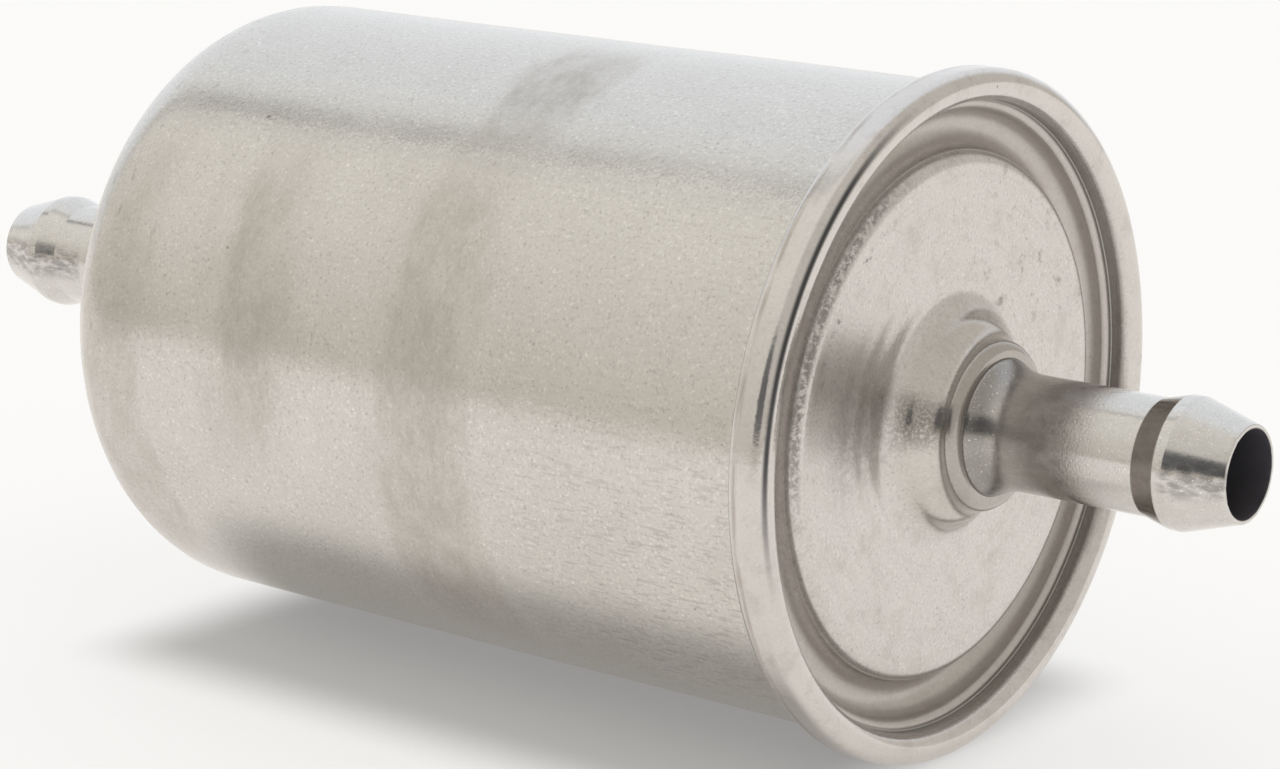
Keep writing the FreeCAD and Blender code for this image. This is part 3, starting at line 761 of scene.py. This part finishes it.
def braze_metal():
    """A copper-alloy fillet, brown where it has oxidised, with a rippled surface."""
    g = Graph("braze_metal")
    oxide = g.ramp(g.noise(1.2, detail=4.0, roughness=0.65), 0.42, 0.66)
    color = g.blend(oxide, (0.78, 0.58, 0.32), (0.36, 0.22, 0.13))
    ripples = g.noise((0.5, 1.4, 1.4), detail=2.0)
    return g.principled(color, g.ramp(oxide, 0.0, 1.0, 0.22, 0.5), normal=g.bump(g.product(ripples, 0.03)))


def adhesive():
    """Cured amber adhesive: glossy, faintly cloudy, with small bubbles."""
    g = Graph("adhesive")
    clouds = g.noise(2.4, detail=3.0)
    color = g.blend(clouds, (0.74, 0.60, 0.36), (0.86, 0.77, 0.56))
    bubbles = g.specks(1.3, 0.22, 0.4)
    color = g.blend(g.product(bubbles, 0.4), color, (0.93, 0.88, 0.74))
    height = g.total(g.product(clouds, 0.05), g.product(bubbles, 0.02))
    return g.principled(color, g.ramp(clouds, 0.3, 0.7, 0.22, 0.36), 0.0, g.bump(height),
                        **{"Subsurface Weight": 0.2, "Subsurface Scale": 0.001})


def filter_paper():
    """Resin-treated filter paper: fibrous, cream to tan, matt."""
    g = Graph("filter_paper")
    fibres = g.noise((0.9, 0.16, 0.16), detail=4.0, roughness=0.7)
    tufts = g.noise((0.16, 0.6, 0.6), detail=4.0, roughness=0.7)
    clouds = g.noise(4.0, detail=3.0)
    fuzz = g.total(g.product(fibres, 0.5), g.product(tufts, 0.5))
    color = g.blend(g.ramp(fuzz, 0.36, 0.64), (0.70, 0.58, 0.36), (0.90, 0.82, 0.62))
    color = g.blend(g.product(clouds, 0.35), color, (0.78, 0.66, 0.42))
    return g.principled(color, g.ramp(fuzz, 0.3, 0.7, 0.75, 0.95), 0.0, g.bump(g.product(fuzz, 0.05)))


def gauze_wire():
    """Fine woven gauze: wires over and under each other, dark between."""
    g = Graph("gauze_wire")
    pitch = 0.8
    turn = g.product(around(g), 10.6 * math.pi / 180)
    along = g.math("SINE", g.product(g.x, 2 * math.pi / pitch))
    across = g.math("SINE", g.product(turn, 2 * math.pi / pitch))
    wires = g.math("MAXIMUM", along, across)
    color = g.blend(g.ramp(wires, 0.1, 0.6), (0.05, 0.05, 0.05), (0.60, 0.59, 0.56))
    # Brownish tarnish in blotches.
    dark_blotch = g.ramp(g.noise(2.5, detail=3.0), 0.4, 0.7)
    color = g.blend(g.product(dark_blotch, 0.3), color, (0.40, 0.36, 0.30))
    return g.principled(color, g.ramp(dark_blotch, 0.0, 1.0, 0.26, 0.4), 0.9, g.bump(g.product(wires, 0.06)))


def grommet_rubber():
    """Matt black moulded rubber with a fine skin and a dusty bloom."""
    g = Graph("grommet_rubber")
    bloom = g.ramp(g.noise(1.8, detail=4.0, roughness=0.65), 0.45, 0.75)
    color = g.blend(g.product(bloom, 0.5), (0.018, 0.018, 0.018), (0.085, 0.083, 0.08))
    skin = g.noise(0.18, detail=3.0)
    return g.principled(color, g.ramp(bloom, 0.0, 1.0, 0.5, 0.75), 0.0, g.bump(g.product(skin, 0.008)))


MATERIALS = {
    "can_steel": can_steel(),
    "cover_steel": cover_steel(),
    "nipple_steel": nipple_steel(),
    "inner_steel": inner_steel(),
    "spring_steel": spring_steel(),
    "sealing_compound": sealing_compound(),
    "braze_metal": braze_metal(),
    "adhesive": adhesive(),
    "filter_paper": filter_paper(),
    "gauze_wire": gauze_wire(),
    "grommet_rubber": grommet_rubber(),
}

# ---- assembly ----------------------------------------------------------------------------------

REMADE = {
    "canister": canister,
    "end_cover": end_cover,
    "inlet_nipple": inlet_nipple,
    "outlet_nipple": outlet_nipple,
    "element_spring": element_spring,
}

for subpart in frame["record"]["subparts"]:
    node, slot = subpart["node"], subpart["material_slot"]
    if node in REMADE:
        piece = REMADE[node]()
        piece.data.materials.append(MATERIALS[slot])
        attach(piece, "housing")
        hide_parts(node)
        if node == "element_spring":
            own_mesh(piece)
    else:
        for holder in frame["nodes"][node].material_slots:
            holder.material = MATERIALS[slot]

# ---- stage, light and camera ---------------------------------------------------------------------

# Where the table gives way to the room in reflections, along Y in metres.
TABLE_EDGE = -0.223

# The sky's colours by angle about X: 0 is the horizon on the -Y side and 90 is straight up.
SKY = (
    (-180.0, (0.90, 0.89, 0.88)),
    (-10.0, (0.74, 0.70, 0.635)),
    (0.0, (0.73, 0.69, 0.625)),
    (20.0, (0.79, 0.755, 0.69)),
    (45.0, (0.88, 0.85, 0.785)),
    (82.0, (0.93, 0.90, 0.84)),
    (110.0, (0.93, 0.955, 0.985)),
    (180.0, (0.93, 0.955, 0.985)),
)
SKY_GAIN = 1.1
SIDE_WALL = (0.66, 0.63, 0.58)
BACKDROP = (0.90, 0.90, 0.90)
DARK = (0.10, 0.10, 0.105)
DARK_PATCH = Vector((0.10, -0.99, 0.10))

# The floor: its side in metres and the light it gives off.
FLOOR_SIZE = 6
FLOOR_GLOW = (0.60, 0.60, 0.60)
FLOOR_GLOW_REFLECTED = (0.68, 0.65, 0.615)

# The camera: focal length in mm, place in metres, direction of view, and roll in radians.
LENS = 99.7
EYE = (0.19149, -0.24024, 0.07170)
AIM = Vector((-0.59474, 0.76827, -0.23675))
ROLL = 0.012


def floor():
    """A plain pale table, glowing softly except under the filter, where the glow is cut to paint a shadow
    that stays close.

    In reflections, in front of its edge, it is painted a dimmer, warmer tone: a painted reflection of a
    shaded room."""
    g = Graph("floor_paint")
    rays = g.tree.nodes.new("ShaderNodeLightPath")
    place = g.tree.nodes.new("ShaderNodeNewGeometry")
    parts = g.tree.nodes.new("ShaderNodeSeparateXYZ")
    g.tree.links.new(place.outputs["Position"], parts.inputs[0])
    x, y = (g.product(parts.outputs[i], 1 / MM) for i in (0, 1))
    # The glow is cut under the filter: a painted shadow.
    under = g.product(g.window(y, -25.0, 25.0, 6.0), g.window(x, -36.0, 38.0, 6.0))
    # Beyond the table's edge, glossy rays see the floor painted dimmer and warmer: a painted reflection of
    # a shaded room.
    beyond = g.ramp(y, TABLE_EDGE / MM + 4.0, TABLE_EDGE / MM - 4.0)
    shaded = g.product(beyond, rays.outputs["Is Glossy Ray"])
    paper = g.noise(40.0, detail=2.0)
    pale = g.blend(paper, (0.43, 0.43, 0.43), (0.44, 0.44, 0.44))
    diffuse = g.add("ShaderNodeBsdfDiffuse", {"Color": g.blend(shaded, pale, (0.33, 0.31, 0.28))})
    glow = g.blend(rays.outputs["Is Glossy Ray"], FLOOR_GLOW, FLOOR_GLOW_REFLECTED)
    glow = g.blend(shaded, glow, (0.46, 0.435, 0.395))
    strength = g.math("SUBTRACT", 1.0, g.product(under, 0.62))
    light = g.add("ShaderNodeEmission", {"Color": glow, "Strength": strength})
    g.finish(g.add("ShaderNodeAddShader", {0: diffuse, 1: light}))
    bpy.ops.mesh.primitive_plane_add(size=FLOOR_SIZE, location=(0, 0, -reach("end_cover") * MM))
    table = bpy.context.object
    table.name = "floor"
    table.data.materials.append(g.material)


def studio():
    """Soft light: a cool panel above and behind and a warmer, dimmer front, with a gap between them.

    The side the cover faces is a dimmer wall, and there is a dark patch almost straight out at -Y."""
    world = bpy.data.worlds.new("studio")
    bpy.context.scene.world = world
    world.use_nodes = True
    g = Graph("sky_builder", world.node_tree)
    across, depth, up = g.x, g.y, g.z
    height = g.math("ARCTAN2", up, g.math("MULTIPLY", depth, -1.0))
    height = g.math("MULTIPLY", height, 180 / math.pi)
    node = g.tree.nodes.new("ShaderNodeValToRGB")
    stops = node.color_ramp.elements
    while len(stops) < len(SKY):
        stops.new(0.5)
    for stop, (angle, color) in zip(stops, SKY):
        stop.position = angle / 360 + 0.5
        stop.color = (*color, 1)
    g.tree.links.new(g.total(g.product(height, 1 / 360), 0.5), node.inputs[0])
    sky = g.blend(g.ramp(across, -0.10, 0.25), node.outputs["Color"], SIDE_WALL)
    gap = g.product(g.window(height, 84.5, 91.0, 0.8), g.ramp(across, -0.52, -0.70, 0.35, 0.80))
    sky = g.blend(g.product(gap, g.ramp(across, 0.0, -0.2)), sky, DARK)
    toward = g.total(*(g.product(part, share) for part, share in zip((across, depth, up), DARK_PATCH)))
    sky = g.blend(g.ramp(toward, 0.88, 0.94, 0.0, 0.9), sky, DARK)
    rays = g.tree.nodes.new("ShaderNodeLightPath")
    seen = g.blend(rays.outputs["Is Camera Ray"], sky, BACKDROP)
    light = g.add("ShaderNodeBackground", {"Color": seen, "Strength": SKY_GAIN})
    g.tree.links.new(light, g.tree.nodes.new("ShaderNodeOutputWorld").inputs["Surface"])


def camera():
    """The camera in front, to the right and slightly above."""
    data = bpy.data.cameras.new("camera")
    data.lens = LENS
    data.sensor_width = 36
    data.clip_start = 0.01
    eye = bpy.data.objects.new("camera", data)
    bpy.context.scene.collection.objects.link(eye)
    eye.location = EYE
    eye.rotation_euler = (AIM.to_track_quat("-Z", "Y") @ Quaternion((0, 0, 1), ROLL)).to_euler()
    bpy.context.scene.camera = eye
    bpy.context.scene.view_settings.view_transform = "Standard"


floor()
studio()
camera()
